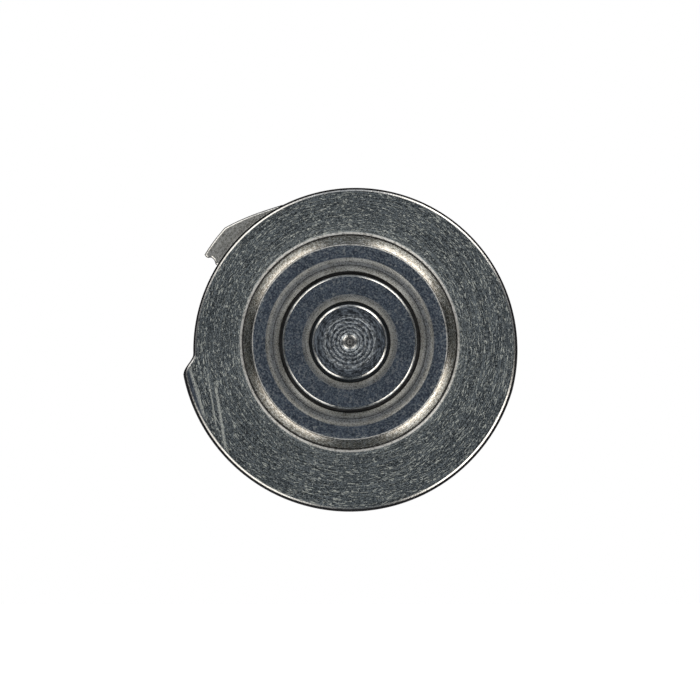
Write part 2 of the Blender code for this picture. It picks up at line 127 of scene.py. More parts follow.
class HookFace(bpy.types.PropertyGroup):
    """Sizes of the turned face."""

    rim: length("Rim", "Full radius of the flange", RIM_R)
    relief: length("Relief", "Radius of the eccentric relief", 16.235)
    relief_offset: length("Relief offset", "How far the relief's centre is from the axis", 0.975)
    relief_bearing: FloatProperty(name="Relief bearing", description="Where the relief's centre lies",
                                  default=math.radians(-54.6), subtype="ANGLE")
    flange: length("Flange", "Thickness of the flange", 1.3)
    hub_foot: length("Hub foot", "Radius where the hub's cone meets the flange", 10.66)
    hub_top: length("Hub top", "Radius where the hub's cone begins", 9.84)
    lip: length("Lip", "Outer radius of the hub's rounded lip", 8.40)
    journal: length("Journal", "Radius of the end journal", 3.72)
    pip: length("Centre pip", "Radius of the centre pip", 0.94)
    facing: length("Facing pitch", "Pitch of the facing rings on the journal", 0.42)
    steps: IntProperty(name="Steps", description="Steps round a turned form", default=360, min=48)


class HookFinish(bpy.types.PropertyGroup):
    """Colours of the steels, and of the painted shade and highlights on them."""

    flange: tint("Flange", "The flange's turned face", (0.285, 0.317, 0.334))
    # Painted highlight: near-white glints for the flange's dashes, the flats' specks and the file strokes
    glint: tint("Spark", "Bright dashes, specks and file strokes", (0.93, 0.96, 0.93))
    facet: tint("Facet", "The filed facet beside the nub", (0.36, 0.40, 0.46))
    turned: tint("Turned", "Turned walls of the hook", (0.46, 0.475, 0.48))
    burnished: tint("Burnished", "Polished flats", (0.42, 0.48, 0.58))
    faced: tint("Faced", "Faced end of the journal", (0.37, 0.40, 0.435))
    lip: tint("Lip", "Rounded lips in the hub", (0.97, 0.945, 0.89))
    # Painted highlight: near-white steel on the fine raised lines, which are real beads
    bead: tint("Bead", "Fine raised lines beside the cone", (0.95, 0.94, 0.91))
    cut_edge: tint("Cut edge", "Bright broken edges", (0.95, 0.93, 0.90))
    # Painted highlight: near-white steel on real chamfers, broken up by streaks
    cone: tint("Cone", "The hub's cone", (0.62, 0.575, 0.515))
    # Painted highlight: near-white steel on the rim's chamfer and along the hook point's edge
    rim_edge: tint("Rim edge", "The rim's bright edge", (0.95, 0.94, 0.92))
    # Painted shade: black for the rim's steep outer side and the hook point's outline
    rim: tint("Rim", "Dark outer side of the rim", (0.016, 0.016, 0.018))
    # Painted shade: a dark colour, not the steel's own, for gaps and grooves where shade falls
    recess: tint("Recess", "Dark gaps", (0.065, 0.065, 0.067))
    ground: tint("Ground", "The hook point", (0.90, 0.89, 0.84))
    plated: tint("Plated", "Bobbin case and bobbin", (0.70, 0.68, 0.64))
    lever: tint("Lever", "The latch lever", (0.84, 0.83, 0.80))
    # Partly wear and partly painted highlight: the broken edges of the dressed pieces, brighter than their
    # own finish
    worn: tint("Worn", "Edges worn bright", (0.92, 0.91, 0.88))
    sprung: tint("Sprung", "Spring leaf, slide and coil", (0.56, 0.52, 0.46))
    screw: tint("Screw", "Screw heads", (0.44, 0.45, 0.48))
    grain: share("Grain", "Strength of the tool marks", 0.85)


class HookStage(bpy.types.PropertyGroup):
    """Camera, light and floor."""

    lens: FloatProperty(name="Lens", description="Focal length in millimetres", default=400.0, min=20.0)
    view_width: length("View width", "Width of the picture at the flange", 70.03)
    view_x: length("View x", "Sideways place of the camera", 0.025)
    view_z: length("View z", "Height of the camera", -0.8)
    floor_drop: length("Floor drop", "How far the floor is below the axis", 46.0)
    lamp: FloatProperty(name="Lamps", description="Strength of the four lamps", default=2.0, min=0.0)
    lamp_colour: tint("Lamp colour", "Colour of the lamps", (1.0, 0.955, 0.87))
    ring: FloatProperty(name="Ring", description="Strength of the soft ring round the camera", default=0.50,
                        min=0.0)
    front: tint("Front gloom", "What the polished face mirrors", (0.065, 0.070, 0.080))
    side: tint("Side gloom", "Light from all round", (0.026, 0.030, 0.032))
    top: tint("Top light", "Light from above", (0.070, 0.080, 0.090))
    back: tint("Back gloom", "What the latch side mirrors", (0.46, 0.47, 0.49))
    floor: tint("Floor", "Colour of the floor", (0.90, 0.90, 0.89))


class Flow:
    """A socket that can stand in a Python expression."""

    def __init__(self, drawing, socket):
        self.drawing = drawing
        self.socket = socket

    def maths(self, operation, *values):
        return self.drawing.node("ShaderNodeMath", {"operation": operation}, dict(enumerate(values)))

    def __add__(self, other):
        return self.maths("ADD", self, other)

    def __radd__(self, other):
        return self.maths("ADD", other, self)

    def __sub__(self, other):
        return self.maths("SUBTRACT", self, other)

    def __rsub__(self, other):
        return self.maths("SUBTRACT", other, self)

    def __mul__(self, other):
        return self.maths("MULTIPLY", self, other)

    def __rmul__(self, other):
        return self.maths("MULTIPLY", other, self)

    def __truediv__(self, other):
        return self.maths("DIVIDE", self, other)

    def __rtruediv__(self, other):
        return self.maths("DIVIDE", other, self)

    def __pow__(self, other):
        return self.maths("POWER", self, other)

    def size(self):
        """How far the value is from zero."""
        return self.maths("ABSOLUTE", self)

    def above(self, low, high):
        """0 below low, 1 above high and a smooth step between."""
        return self.drawing.node("ShaderNodeMapRange", {"interpolation_type": "SMOOTHSTEP"},
                                 {"Value": self, "From Min": low, "From Max": high})


class Drawing:
    """A node tree that is being drawn."""

    def __init__(self, tree):
        self.tree = tree
        tree.nodes.clear()

    def node(self, kind, settings=None, sockets=None, out=0):
        made = self.tree.nodes.new(kind)
        for name, value in (settings or {}).items():
            setattr(made, name, value)
        for key, value in (sockets or {}).items():
            if isinstance(value, Flow):
                self.tree.links.new(value.socket, made.inputs[key])
            else:
                made.inputs[key].default_value = value
        return Flow(self, made.outputs[out]) if made.outputs else None

    def blend(self, factor, first, second):
        """A colour between two colours."""
        return self.node("ShaderNodeMix", {"data_type": "RGBA"}, {0: factor, 6: first, 7: second}, 2)

    def scaled(self, colour, amount):
        return self.node("ShaderNodeVectorMath", {"operation": "SCALE"}, {0: colour, "Scale": amount})

    def summed(self, first, second):
        return self.node("ShaderNodeVectorMath", {"operation": "ADD"}, {0: first, 1: second})

    def point(self):
        """A point of the piece, in the frame, in metres."""
        return self.node("ShaderNodeTexCoord", out="Object")

    def place(self):
        """The point's x, y and z."""
        return self.parts(self.point())

    def parts(self, vector):
        split = self.node("ShaderNodeSeparateXYZ", None, {0: vector}).socket.node
        return [Flow(self, socket) for socket in split.outputs]

    def vector(self, x, y, z):
        return self.node("ShaderNodeCombineXYZ", None, {0: x, 1: y, 2: z})

    def noise(self, vector, scale, detail=2.0, along=None):
        sockets = {"Vector": vector, "Scale": scale, "Detail": detail}
        settings = {}
        if along is not None:
            settings["noise_dimensions"] = "4D"
            sockets["W"] = along
        return self.node("ShaderNodeTexNoise", settings, sockets)


def opaque(colour, strength=1.0):
    """A colour made stronger or weaker, with full alpha."""
    return tuple(min(part * strength, 1.0) for part in colour) + (1.0,)


def round_marks(drawing, pitch, run):
    """Tool marks round the hook's axis: pitch across them in metres, run along them in radians."""
    off_zero = 1e-12
    x, y, z = drawing.place()
    radius = (x * x + z * z + off_zero) ** 0.5
    around = drawing.vector(x / radius / run, z / radius / run, y / pitch)
    return drawing.noise(around, scale=1.0, detail=1.0, along=radius / pitch)


def straight_marks(drawing, pitch, run):
    """Grinding marks along x: pitch across them and run along them, in metres."""
    x, y, z = drawing.place()
    return drawing.noise(drawing.vector(x / run, y / pitch, z / pitch), scale=1.0)


# Straight file strokes below the nub: two ends and a width, in millimetres
FILE_STROKES = (
    ((-16.09, -2.41), (-14.39, -8.06), 0.34),
    ((-14.14, -3.71), (-13.21, -9.30), 0.16),
    ((-13.42, -4.37), (-12.34, -11.15), 0.32),
)
# Where a stroke fades: across it in widths, and along it in millimetres from its start and from its end
STROKE_SIDE, STROKE_START, STROKE_END = (0.22, 0.65), (-0.3, 0.5), (-1.2, 0.2)
# The noise that breaks the strokes up: grains per metre, and the levels between which the stroke comes in
STROKE_GRAINS, STROKE_LEVELS = 7000.0, (0.32, 0.52)


def file_strokes(drawing):
    """1 on the broken lines that the file left on the flange, which are painted bright as highlights."""
    x, _, z = drawing.place()
    broken = drawing.noise(drawing.point(), STROKE_GRAINS).above(*STROKE_LEVELS)
    shown = 0.0
    for (start_x, start_z), (end_x, end_z), width in FILE_STROKES:
        span = math.hypot(end_x - start_x, end_z - start_z)
        run_x, run_z = (end_x - start_x) / span, (end_z - start_z) / span
        right, up = x / MM - start_x, z / MM - start_z
        along = right * run_x + up * run_z
        aside = (right * run_z - up * run_x).size()
        stroke = (1.0 - aside.above(*(width * part for part in STROKE_SIDE))) * along.above(*STROKE_START)
        shown = shown + stroke * (1.0 - along.above(*(span + part for part in STROKE_END)))
    return shown * broken


class Finish(NamedTuple):
    """A steel finish: its colour, the marks that a tool or wear left in it, and light and shade painted on
    them.

    The colour is a name in HookFinish. Pitch and run go to the marks, and the bump is their depth in metres.
    Flecks, rings, dashes and specks are strengths; flecks, dashes and specks are painted glints.
    """

    slot: str
    colour: str
    roughness: float
    marks: Callable
    pitch: float
    run: float
    contrast: float
    bump: float
    flecks: float = 0.2
    rings: float = 0.0
    dashes: float = 0.0
    specks: float = 0.0
    strokes: Callable | None = None
    metallic: float = 1.0
    gloss: float = 0.5


FINISHES = {
    "flange": Finish("turned_steel", "flange", 0.40, round_marks, pitch=75e-6, run=0.008, contrast=1.0,
                     bump=6e-6, flecks=0.6, rings=0.8, dashes=1.0, strokes=file_strokes),
    "facet": Finish("turned_steel", "facet", 0.26, round_marks, pitch=120e-6, run=0.05, contrast=0.6,
                    bump=2e-6, flecks=0.5, strokes=file_strokes),
    "turned": Finish("turned_steel", "turned", 0.34, round_marks, pitch=120e-6, run=0.40, contrast=0.40,
                     bump=4e-6),
    "burnished": Finish("polished_steel", "burnished", 0.20, round_marks, pitch=140e-6, run=0.022,
                        contrast=0.80, bump=2e-6, flecks=0.9, specks=0.6),
    "faced": Finish("polished_steel", "faced", 0.28, round_marks, pitch=120e-6, run=0.13, contrast=1.0,
                    bump=14e-6, flecks=0.8),
    "lip": Finish("turned_steel", "lip", 0.32, round_marks, pitch=100e-6, run=0.018, contrast=0.85,
                  bump=8e-6, flecks=0.7, rings=0.4),
    # Painted highlight on the beads
    "bead": Finish("turned_steel", "bead", 0.36, round_marks, pitch=140e-6, run=0.022, contrast=0.9,
                   bump=12e-6, flecks=0.5),
    # Painted highlight on the chamfers
    "cut_edge": Finish("polished_steel", "cut_edge", 0.22, round_marks, pitch=160e-6, run=0.045, contrast=0.9,
                       bump=12e-6),
    "cone": Finish("turned_steel", "cone", 0.25, round_marks, pitch=90e-6, run=0.020, contrast=0.9,
                   bump=10e-6, flecks=0.5),
    # Painted highlight on the rim's chamfer and the point's edge
    "rim_edge": Finish("turned_steel", "rim_edge", 0.32, round_marks, pitch=160e-6, run=0.009, contrast=0.5,
                       bump=18e-6),
    # Painted shade: black and not metal, on the rim's steep outer side and the point's outline
    "rim": Finish("turned_steel", "rim", 0.50, round_marks, pitch=160e-6, run=0.30, contrast=0.4,
                  bump=0.0, metallic=0.0, gloss=0.0),
    # Painted shade: dark and not metal, on the floors and walls of gaps and grooves
    "recess": Finish("turned_steel", "recess", 0.80, round_marks, pitch=120e-6, run=0.30, contrast=0.4,
                     bump=0.0, metallic=0.0, gloss=0.0),
    "ground": Finish("ground_steel", "ground", 0.50, round_marks, pitch=100e-6, run=0.012, contrast=0.80,
                     bump=6e-6, flecks=0.5, rings=0.6),
    "plated": Finish("plated_steel", "plated", 0.24, round_marks, pitch=100e-6, run=0.60, contrast=0.30,
                     bump=2e-6, flecks=0.1),
    "brushed": Finish("plated_steel", "lever", 0.24, straight_marks, pitch=80e-6, run=4e-3, contrast=0.4,
                      bump=2e-6, flecks=0.1),
    # Partly wear and partly painted highlight, on broken edges
    "worn": Finish("plated_steel", "worn", 0.24, straight_marks, pitch=150e-6, run=0.6e-3, contrast=0.6,
                   bump=2e-6),
    "sprung": Finish("spring_steel", "sprung", 0.28, straight_marks, pitch=100e-6, run=2e-3, contrast=0.5,
                     bump=3e-6),
    "screw": Finish("screw_steel", "screw", 0.26, straight_marks, pitch=120e-6, run=0.8e-3, contrast=0.35,
                    bump=2e-6, flecks=0.1),
}

# Grains per metre of the noises that no tool made
STAIN_GRAINS, FLECK_GRAINS, SPECK_GRAINS = 700.0, 4200.0, 2300.0
# The middle level of a noise, and the levels between which each mark comes in
MIDDLE = 0.5
STAIN, FLECK, SPECK = (0.35, 0.70), (0.58, 0.68), (0.66, 0.71)
DARK_STREAK, BRIGHT_STREAK = (0.34, 0.50), (0.52, 0.62)
DARK_RING, BRIGHT_RING = (0.38, 0.50), (0.53, 0.62)
DASH_RIDGE, DASH_BREAK = (0.01, 0.055), (0.485, 0.55)
# A ring's pitch in streaks, and its run in radians
RING_PITCH, RING_RUN = 1.1, 0.5
# Pitch and run, in streaks, of the ridge that a dash stands on and of what breaks it
RIDGE_PITCH, RIDGE_RUN = 2.2, 12.0
BREAK_PITCH, BREAK_RUN = 1.6, 3.0
# Shades of the marks against the finish's own colour, with painted shade and highlight among them
# Stains are the steel's own colour; dark streaks and rings are painted shade, bright ones and flecks painted
# highlight
STAINED, CLEAN, DARK, DARK_IN_RING, BRIGHT, BRIGHT_FLECK = 0.84, 1.10, 0.30, 0.40, 2.2, 2.4
# What each mark adds to the roughness
STREAK_ROUGH, STAIN_ROUGH, SPECK_ROUGH, DASH_ROUGH, STROKE_ROUGH = 0.30, 0.10, 0.2, 0.45, 0.25


def finish(key):
    """The material of a finish: stains, tool-mark rings and streaks with painted shade and highlight, painted
    glints as flecks, specks and dashes, and file strokes painted bright.
    """
    name = f"hook_{key}"
    made = bpy.data.materials.get(name)
    if made is not None:
        return made
    look = FINISHES[key]
    colours = bpy.context.scene.hook_finish
    colour = getattr(colours, look.colour)
    strength = colours.grain * look.contrast
    made = bpy.data.materials.new(name)
    made.use_nodes = True
    drawing = Drawing(made.node_tree)
    point = drawing.point()
    streak = look.marks(drawing, look.pitch, look.run)
    stain = drawing.noise(point, STAIN_GRAINS, detail=3.0)
    fleck = drawing.noise(point, FLECK_GRAINS, detail=1.0)
    skin = drawing.blend(stain.above(*STAIN), opaque(colour, STAINED), opaque(colour, CLEAN))
    rough = look.roughness + (streak - MIDDLE) * (STREAK_ROUGH * look.contrast)
    rough = rough + (stain - MIDDLE) * STAIN_ROUGH
    # Rings of the tool marks: grain, with painted shade on their dark side and painted highlight on their
    # bright side
    if look.rings > 0.0:
        ring = look.marks(drawing, look.pitch * RING_PITCH, RING_RUN)
        skin = drawing.blend((1.0 - ring.above(*DARK_RING)) * look.rings, skin, opaque(colour, DARK_IN_RING))
        skin = drawing.blend(ring.above(*BRIGHT_RING) * look.rings, skin, opaque(colour, BRIGHT))
    # Streaks of the tool marks: grain, with painted shade on the dark ones and painted highlight on the
    # bright ones
    skin = drawing.blend((1.0 - streak.above(*DARK_STREAK)) * strength, skin, opaque(colour, DARK))
    skin = drawing.blend(streak.above(*BRIGHT_STREAK) * strength, skin, opaque(colour, BRIGHT))
    # Bright flecks: painted glints
    skin = drawing.blend(fleck.above(*FLECK) * look.flecks, skin, opaque(colour, BRIGHT_FLECK))
    # Specks: painted glints on the polished flats
    if look.specks > 0.0:
        speck = drawing.noise(point, SPECK_GRAINS, detail=1.0).above(*SPECK) * look.specks
        skin = drawing.blend(speck, skin, opaque(colours.glint))
        rough = rough + speck * SPECK_ROUGH
    # Dashes: painted glints along the tool marks of the flange
    if look.dashes > 0.0:
        swell = look.marks(drawing, look.pitch * RIDGE_PITCH, look.run * RIDGE_RUN)
        ridge = 1.0 - (swell - MIDDLE).size().above(*DASH_RIDGE)
        broken = look.marks(drawing, look.pitch * BREAK_PITCH, look.run * BREAK_RUN).above(*DASH_BREAK)
        dash = ridge * broken * look.dashes
        skin = drawing.blend(dash, skin, opaque(colours.glint))
        rough = rough + dash * DASH_ROUGH
    # File strokes: real file marks, painted bright as highlights
    if look.strokes is not None:
        stroke = look.strokes(drawing)
        skin = drawing.blend(stroke, skin, opaque(colours.glint))
        rough = rough + stroke * STROKE_ROUGH
    sockets = {
        "Base Color": skin,
        "Roughness": rough,
        "Metallic": look.metallic,
        "Specular IOR Level": look.gloss,
    }
    if look.bump > 0.0:
        depth = {"Strength": 1.0, "Distance": look.bump, "Height": streak}
        sockets["Normal"] = drawing.node("ShaderNodeBump", None, depth)
    shader = drawing.node("ShaderNodeBsdfPrincipled", None, sockets)
    drawing.node("ShaderNodeOutputMaterial", None, {"Surface": shader})
    return made


def polar(radius, bearing):
    angle = math.radians(bearing)
    return (radius * math.cos(angle), radius * math.sin(angle))


def arc(radius, start, end, step=2.0):
    count = max(2, round(abs(end - start) / step))
    return [polar(radius, start + (end - start) * i / count) for i in range(count + 1)]


def ring_at(radius, x, y, count=24):
    """The outline of a round hole."""
    angles = [math.tau * i / count for i in range(count)]
    return [(x + radius * math.cos(angle), y + radius * math.sin(angle)) for angle in angles]


def face_size(name):
    """A size of the turned face, in millimetres."""
    return getattr(bpy.context.scene.hook_face, name) / MM


def relief_radius(bearing):
    """Radius of the eccentric relief at a bearing in degrees."""
    face = bpy.context.scene.hook_face
    off = face.relief_offset / MM
    lean = math.radians(bearing) - face.relief_bearing
    return off * math.cos(lean) + math.sqrt((face.relief / MM) ** 2 - (off * math.sin(lean)) ** 2)


def rim_radius(bearing):
    """Radius of the flange's rim: full below the nub, eased off above it."""
    bearing %= 360.0
    full = face_size("rim")
    if NUB_TO <= bearing <= FULL_TO:
        return full
    eased = min(full, relief_radius(bearing))
    if NUB_FROM < bearing < NUB_TO:
        rise = (bearing - NUB_FROM) / (NUB_TO - NUB_FROM)
        rise = rise * rise * (3.0 - 2.0 * rise)
        return eased + (full - eased) * rise
    return eased


def fullness(bearing):
    """1 on the part of the rim that has its full radius, falling to 0 on the eased part."""
    lack = face_size("rim") - rim_radius(bearing)
    return max(0.0, 1.0 - lack / EDGE_FADE)


def link(name, mesh, finishes=()):
    for key in finishes:
        mesh.materials.append(finish(key))
    made = bpy.data.objects.new(name, mesh)
    bpy.context.scene.collection.objects.link(made)
    return made


def mesh_from(name, builder):
    """A mesh in the frame, from a bmesh drawn in millimetres."""
    bmesh.ops.remove_doubles(builder, verts=builder.verts, dist=WELD)
    bmesh.ops.recalc_face_normals(builder, faces=builder.faces)
    builder.transform(TO_ROW)
    mesh = bpy.data.meshes.new(name)
    builder.to_mesh(mesh)
    builder.free()
    return mesh


def turned(name, profile, steps, ring=True):
    """A turned form. The profile is a list of (finish number, radius or function of bearing, height)."""
    builder = bmesh.new()
    columns = []
    for i in range(steps):
        bearing = 360.0 * i / steps
        column = []
        for _, radius, height in profile:
            x, y = polar(radius(bearing) if callable(radius) else radius, bearing)
            column.append(builder.verts.new((x, y, height)))
        columns.append(column)
    last = len(profile) if ring else len(profile) - 1
    for i in range(steps):
        here, there = columns[i], columns[(i + 1) % steps]
        for j in range(last):
            k = (j + 1) % len(profile)
            builder.faces.new((here[j], there[j], there[k], here[k])).material_index = profile[j][0]
    bmesh.ops.dissolve_degenerate(builder, dist=WELD, edges=builder.edges)
    return mesh_from(name, builder)


def plate(name, outline, low, high, edge=0.0, crown=()):
    """A flat form of an outline, with broken edges, or with a front that steps in.

    Each step of the crown is (finish number, inset, rise).
    """
    builder = bmesh.new()
    base = builder.faces.new([builder.verts.new((x, y, low)) for x, y in outline])
    risen = bmesh.ops.extrude_face_region(builder, geom=[base])["geom"]
    front = next(made for made in risen if isinstance(made, bmesh.types.BMFace))
    thick = high - low - sum(rise for _, _, rise in crown)
    bmesh.ops.translate(builder, vec=(0.0, 0.0, thick), verts=list(front.verts))
    if edge > 0.0:
        rims = [side for side in builder.edges if abs(side.verts[0].co.z - side.verts[1].co.z) < WELD]
        bmesh.ops.bevel(builder, geom=rims, offset=edge, segments=1, affect="EDGES")
    builder.normal_update()
    for number, inset, rise in crown:
        step = bmesh.ops.inset_individual(builder, faces=[front], thickness=inset, depth=rise,
                                          use_even_offset=True)
        for side in step["faces"]:
            side.material_index = number
    return mesh_from(name, builder)


def sector(name, inner, outer, start, end, low, high, edge=0.0):
    """A plate between two radii and two bearings."""
    return plate(name, arc(outer, start, end) + arc(inner, end, start), low, high, edge)


def block(name, corner, opposite, turn, number=0):
    """A box between two corners, turned and moved by a matrix, with the number of its finish."""
    builder = bmesh.new()
    low, high = Vector(corner), Vector(opposite)
    size = Matrix.Diagonal((*(high - low), 1.0))
    bmesh.ops.create_cube(builder, size=1.0, matrix=Matrix.Translation((low + high) / 2) @ size)
    builder.transform(turn)
    for side in builder.faces:
        side.material_index = number
    return mesh_from(name, builder)


def baked(piece):
    """Gives a piece the mesh that its modifiers make."""
    graph = bpy.context.evaluated_depsgraph_get()
    mesh = bpy.data.meshes.new_from_object(piece.evaluated_get(graph))
    piece.modifiers.clear()
    piece.data = mesh


def shaped(piece, operation, *tools):
    """Cuts tools out of a piece, or joins them to it."""
    for mesh in tools:
        for material in piece.data.materials:
            mesh.materials.append(material)
    helpers = [link("tool", mesh) for mesh in tools]
    for helper in helpers:
        step = piece.modifiers.new(operation.lower(), "BOOLEAN")
        step.operation = operation
        step.solver = "EXACT"
        step.object = helper
    baked(piece)
    for helper in helpers:
        bpy.data.objects.remove(helper, do_unlink=True)


def settle(piece, node, smooth_below=SMOOTH_BELOW):
    """Puts a piece in the place of a node: shades it smooth, hangs it on the node's body and hides the node.
    """
    piece.data.shade_smooth()
    piece.data.set_sharp_from_angle(angle=smooth_below)
    shading = piece.modifiers.new("even_shading", "WEIGHTED_NORMAL")
    shading.keep_sharp = True
    shading.weight = 100
    baked(piece)
    body = next(name for name, empty in frame["bodies"].items() if frame["nodes"][node].parent is empty)
    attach(piece, body)
    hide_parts(node)
    return piece


def dressed(node, key, edge):
    """A copy of a node with its facets run together and its edges broken, by so many millimetres."""
    weld, flat_below, edge_above = 2e-6, math.radians(1.0), math.radians(40.0)
    builder = bmesh.new()
    builder.from_mesh(frame["nodes"][node].data)
    bmesh.ops.remove_doubles(builder, verts=builder.verts, dist=weld)
    bmesh.ops.dissolve_limit(builder, angle_limit=flat_below, verts=builder.verts, edges=builder.edges)
    mesh = bpy.data.meshes.new(f"{node}_look")
    builder.to_mesh(mesh)
    builder.free()
    # The broken edges take a brighter finish, partly wear and partly painted highlight
    finishes = [key, "worn"]
    piece = link(f"{node}_look", mesh, finishes)
    if edge > 0.0:
        step = piece.modifiers.new("edge", "BEVEL")
        step.width = edge * MM
        step.segments = 2
        step.material = finishes.index("worn")
        step.limit_method = "ANGLE"
        step.angle_limit = edge_above
        baked(piece)
    return settle(piece, node, FACET_BELOW)


class HOOK_OT_body(bpy.types.Operator):
    """Make the hook's flange, hub and cup"""

    bl_idname = "hook.body"
    bl_label = "Hook Body"

    def execute(self, context):
        finishes = ["turned", "flange", "facet", "burnished", "lip", "bead", "cone", "rim_edge", "rim",
                    "recess"]
        steel, face, facet, flat, lip, bead, cone, rim_edge, rim, recess = range(len(finishes))
        hole, shaft_hole = BUSH_R + AIR, face_size("journal") + AIR
        lip_r, top_r, foot_r = face_size("lip"), face_size("hub_top"), face_size("hub_foot")
        flange = face_size("flange")
        seat = BUSH_FOOT - AIR
        mid_face = 12.4
        cup, bore, end = 15.0, 12.9, -10.0
        race, race_floor = 13.7, -8.4

        def inset(eased, full):
            """A radius in from the rim, by one depth on its eased part and by another on its full part."""
            return lambda bearing: rim_radius(bearing) - eased - (full - eased) * fullness(bearing)

        profile = [
            # Two rounded lips, with a fine groove between them; the hole's edge and the groove are painted
            # shade
            (recess, hole, 0.49), (lip, hole + 0.03, 0.55), (lip, hole + 0.07, 0.59),
            (lip, hole + 0.42, 0.745), (lip, hole + 0.54, 0.78), (lip, hole + 0.59, 0.785),
            (recess, hole + 0.61, 0.76), (recess, hole + 0.65, 0.76), (lip, hole + 0.67, 0.785),
            (lip, hole + 0.90, 0.81), (lip, hole + 1.08, 0.855), (lip, lip_r - 0.16, 0.905),
            # The hub's flat top and its cone, with beads of painted highlight and painted shade in the
            # corners beside the cone
            (bead, lip_r - 0.05, 0.96), (lip, lip_r, HUB_TOP), (flat, lip_r + 0.06, HUB_TOP),
            (bead, top_r - 0.17, HUB_TOP), (bead, top_r - 0.07, 0.955), (recess, top_r - 0.04, 0.91),
            (cone, top_r, 0.87), (cone, foot_r, 0.14), (recess, foot_r + 0.04, 0.02),
            (recess, foot_r + 0.09, 0.02), (bead, foot_r + 0.13, 0.10), (bead, foot_r + 0.17, 0.12),
            # The flange's face and its rim, with painted highlight on the rim's chamfer and painted shade on
            # its steep side
            (face, foot_r + 0.36, 0.04), (face, foot_r + 0.46, 0.0), (face, mid_face, 0.0),
            (face, inset(1.0, 1.0), 0.0), (rim_edge, inset(0.33, 0.42), 0.0),
            (rim, inset(0.19, 0.26), -0.14), (rim, inset(0.09, 0.12), -0.34),
            (steel, inset(0.0, 0.0), -0.62), (steel, inset(0.0, 0.0), 0.14 - flange),
            (steel, inset(0.14, 0.14), -flange),
            # The cup, its race and its bore
            (steel, cup + 0.10, -flange), (steel, cup, -flange - 0.10), (steel, cup, end + 0.12),
            (steel, cup - 0.12, end), (steel, race + 0.10, end), (steel, race, end + 0.10),
            (steel, race, race_floor), (steel, bore + 0.08, race_floor), (steel, bore, race_floor + 0.08),
            (steel, bore, -flange),
            # The shaft's hole and the ring's seat; the seat and the wall round the ring are painted shade
            (steel, shaft_hole + 0.1, -flange), (steel, shaft_hole, 0.1 - flange),
            (recess, shaft_hole, seat), (recess, hole, seat),
        ]
        mesh = turned("hook_body_look", profile, context.scene.hook_face.steps)
        piece = link("hook_body_look", mesh, finishes)
        heavy = sector("heavy_rim", inner=cup - 0.5, outer=16.6, start=197.0, end=338.0, low=end + 0.04,
                       high=-6.2, edge=0.12)
        shaped(piece, "UNION", heavy)
        outside = 18.6
        gap = sector("needle_gap", inner=bore - 1.0, outer=outside, start=150.5, end=186.0,
                     low=-7.8, high=-1.9)
        pocket = sector("point_pocket", inner=13.9, outer=outside, start=70.5, end=152.5,
                        low=-4.4, high=-1.45)
        screw_r, screw_circle, screw_depth = 0.8, 15.35, 3.0
        holes = [plate("screw_hole", ring_at(screw_r, *polar(screw_circle, bearing)), end - screw_depth,
                       end + screw_depth) for bearing in (207.0, 267.5, 328.0)]
        shaped(piece, "DIFFERENCE", gap, pocket, *holes, self.facet_tool(facet))
        settle(piece, "hook_body")
        return {"FINISHED"}

    def facet_tool(self, number):
        """The tool that files a slight facet between the first stroke and the rim."""
        lean, reach_out, high = 3.0, 6.0, 1.5
        start, end, _ = FILE_STROKES[0]
        first, second = Vector((*start, 0.0)), Vector((*end, 0.0))
        along, up = (second - first).normalized(), Vector((0.0, 0.0, 1.0))
        turn = Matrix((along, along.cross(up), up)).transposed().to_4x4()
        tilt = Matrix.Translation(first) @ turn @ Matrix.Rotation(-math.radians(lean), 4, "X")
        return block("facet", (0.0, 0.0, 0.0), ((second - first).length, reach_out, high), tilt, number)


